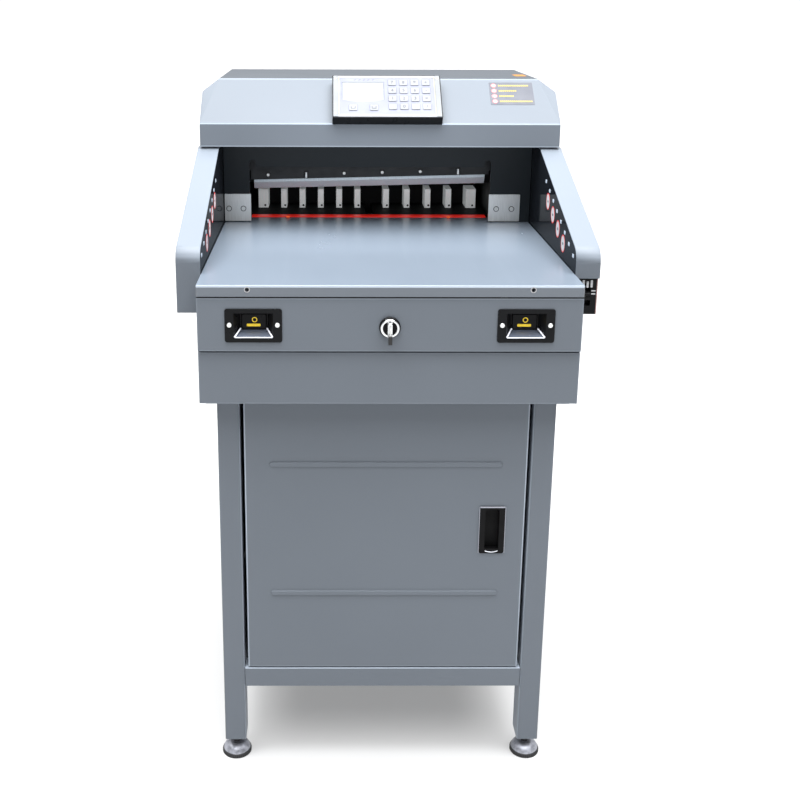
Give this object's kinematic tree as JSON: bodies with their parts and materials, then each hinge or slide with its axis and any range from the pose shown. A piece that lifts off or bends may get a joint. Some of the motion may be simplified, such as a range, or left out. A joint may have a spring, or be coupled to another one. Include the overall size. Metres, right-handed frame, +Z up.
{
  "type": "guillotine paper cutter",
  "caption": "Electric guillotine paper cutter on a cabinet stand: table between light-barrier wings, knife, clamp and back gauge under a sheet-metal hood with a keypad.",
  "frame": {"origin": "on the floor under the middle of the machine's bounding box", "axes": "+Z up, the operator stands at -Y, +X to the operator's right"},
  "size_m": [0.6648, 1.07, 1.1389],
  "materials": {
    "body_paint": "satin powder coat",
    "dark_paint": "satin powder coat",
    "table_paint": "smooth satin paint",
    "black_gloss": "glossy",
    "lens": "glossy",
    "stainless": "brushed",
    "machined_steel": "ground",
    "blade_steel": "ground and polished bevel",
    "cast_iron": "painted casting",
    "black_plastic": "fine moulded texture",
    "red_plastic": "satin",
    "overlay": "satin printed overlay",
    "keys": "satin",
    "display": "glossy",
    "chrome": "polished",
    "zinc": "satin zinc plate",
    "bright_bar": "satin"
  },
  "bodies": {
    "machine": {"legs": "body_paint", "stand_rails": "body_paint", "cabinet_side_panels": "body_paint", "cabinet_back_panel": "body_paint", "cabinet_floor": "body_paint", "base_plate": "body_paint", "door_hinge_pins": "machined_steel", "front_apron": "body_paint", "front_panel": "body_paint", "body_side_covers": "body_paint", "table_plate": "table_paint", "rear_table": "dark_paint", "cutting_stick": "red_plastic", "side_frames": "cast_iron", "front_plate": "dark_paint", "guard_plates": "stainless", "left_wing_cover": "body_paint", "right_wing_cover": "body_paint", "light_barrier_panels": "black_gloss", "light_barrier_lenses": "lens", "hood": "body_paint", "rear_cover": "body_paint", "back_panel": "body_paint", "power_inlet": "black_plastic", "control_box": "black_plastic", "control_face": "overlay", "display_window": "display", "keypad_keys": "keys", "button_bezels": "black_plastic", "switch_collar": "black_plastic", "power_switch_housing": "black_plastic", "gearbox": "cast_iron", "drive_motor": "cast_iron", "cross_beam": "cast_iron", "clamp_motor": "black_plastic", "gauge_guide_rods": "machined_steel", "gauge_bearers": "cast_iron", "gauge_motor": "black_plastic", "panel_screws": "stainless"},
    "door": {"cabinet_door": "body_paint", "door_handle": "black_plastic"},
    "knife": {"knife_beam": "cast_iron", "blade": "blade_steel", "knife_bolts": "stainless"},
    "crank": {"crank": "machined_steel"},
    "pull_rod": {"pull_rod": "machined_steel"},
    "clamp": {"clamp_bar": "cast_iron"},
    "clamp_screw": {"clamp_screw": "machined_steel"},
    "back_gauge": {"back_gauge": "cast_iron", "gauge_fingers": "bright_bar"},
    "gauge_screw": {"gauge_screw": "machined_steel"},
    "left_button": {"left_cut_button": "black_plastic"},
    "right_button": {"right_cut_button": "black_plastic"},
    "key_switch": {"switch_rotor": "chrome", "switch_key": "black_plastic"},
    "power_toggle": {"power_switch_toggle": "black_plastic"},
    "front_left_foot": {"front_left_foot": "zinc"},
    "rear_left_foot": {"rear_left_foot": "zinc"},
    "front_right_foot": {"front_right_foot": "zinc"},
    "rear_right_foot": {"rear_right_foot": "zinc"}
  },
  "joints": [
    {"name": "door_swing", "type": "hinge", "parent": "machine", "child": "door", "pos_m": [-0.22, -0.459, 0.421], "axis": [0, 0, 1], "range_deg": [-110, 0]},
    {"name": "knife_stroke", "type": "hinge", "parent": "machine", "child": "knife", "pos_m": [-2.4278, 0.014, 1.183], "axis": [0, 1, 0], "range_deg": [0, 1.4]},
    {"name": "crank_turn", "type": "hinge", "parent": "machine", "child": "crank", "pos_m": [0.25, 0.014, 0.728], "axis": [-1, 0, 0], "range_deg": [0, 180.1]},
    {"name": "rod_pivot", "type": "hinge", "parent": "crank", "child": "pull_rod", "pos_m": [0.27, 0.014, 0.761], "axis": [-1, 0, 0], "range_deg": [-180.1, 0]},
    {"name": "clamp_press", "type": "slide", "parent": "machine", "child": "clamp", "axis": [0, 0, -1], "range_m": [0, 0.064]},
    {"name": "clamp_screw_turn", "type": "hinge", "parent": "machine", "child": "clamp_screw", "pos_m": [-0.014, 0.069, 1.008], "axis": [0, 0, 1], "range_deg": [0, 2881]},
    {"name": "gauge_travel", "type": "slide", "parent": "machine", "child": "back_gauge", "axis": [0, 1, 0], "range_m": [-0.056, 0.285]},
    {"name": "gauge_screw_turn", "type": "hinge", "parent": "machine", "child": "gauge_screw", "pos_m": [-0.011, 0.25, 0.82], "axis": [0, 1, 0], "range_deg": [-2017, 10261]},
    {"name": "left_button_press", "type": "slide", "parent": "machine", "child": "left_button", "axis": [0, 1, 0], "range_m": [0, 0.004], "stiffness_N_per_m": 800, "springref_m": -0.002},
    {"name": "right_button_press", "type": "slide", "parent": "machine", "child": "right_button", "axis": [0, 1, 0], "range_m": [0, 0.004], "stiffness_N_per_m": 800, "springref_m": -0.002},
    {"name": "key_turn", "type": "hinge", "parent": "machine", "child": "key_switch", "pos_m": [0, -0.511, 0.7953], "axis": [0, 1, 0], "range_deg": [0, 90]},
    {"name": "power_toggle_flip", "type": "hinge", "parent": "machine", "child": "power_toggle", "pos_m": [0.31195, -0.429, 0.823], "axis": [1, 0, 0], "range_deg": [0, 50]},
    {"name": "front_left_foot_turn", "type": "hinge", "parent": "machine", "child": "front_left_foot", "pos_m": [-0.252, -0.445, 0.038], "axis": [0, 0, 1], "range_deg": [0, 2469]},
    {"name": "rear_left_foot_turn", "type": "hinge", "parent": "machine", "child": "rear_left_foot", "pos_m": [-0.252, 0.226, 0.038], "axis": [0, 0, 1], "range_deg": [0, 2469]},
    {"name": "front_right_foot_turn", "type": "hinge", "parent": "machine", "child": "front_right_foot", "pos_m": [0.252, -0.445, 0.038], "axis": [0, 0, 1], "range_deg": [0, 2469]},
    {"name": "rear_right_foot_turn", "type": "hinge", "parent": "machine", "child": "rear_right_foot", "pos_m": [0.252, 0.226, 0.038], "axis": [0, 0, 1], "range_deg": [0, 2469]}
  ],
  "couplings": [
    {"joint": "crank_turn", "follows": "knife_stroke", "ratio": 128.57},
    {"joint": "rod_pivot", "follows": "knife_stroke", "ratio": -128.57},
    {"joint": "clamp_screw_turn", "follows": "clamp_press", "rad_per_m": 785.4},
    {"joint": "gauge_screw_turn", "follows": "gauge_travel", "rad_per_m": 628.32}
  ]
}
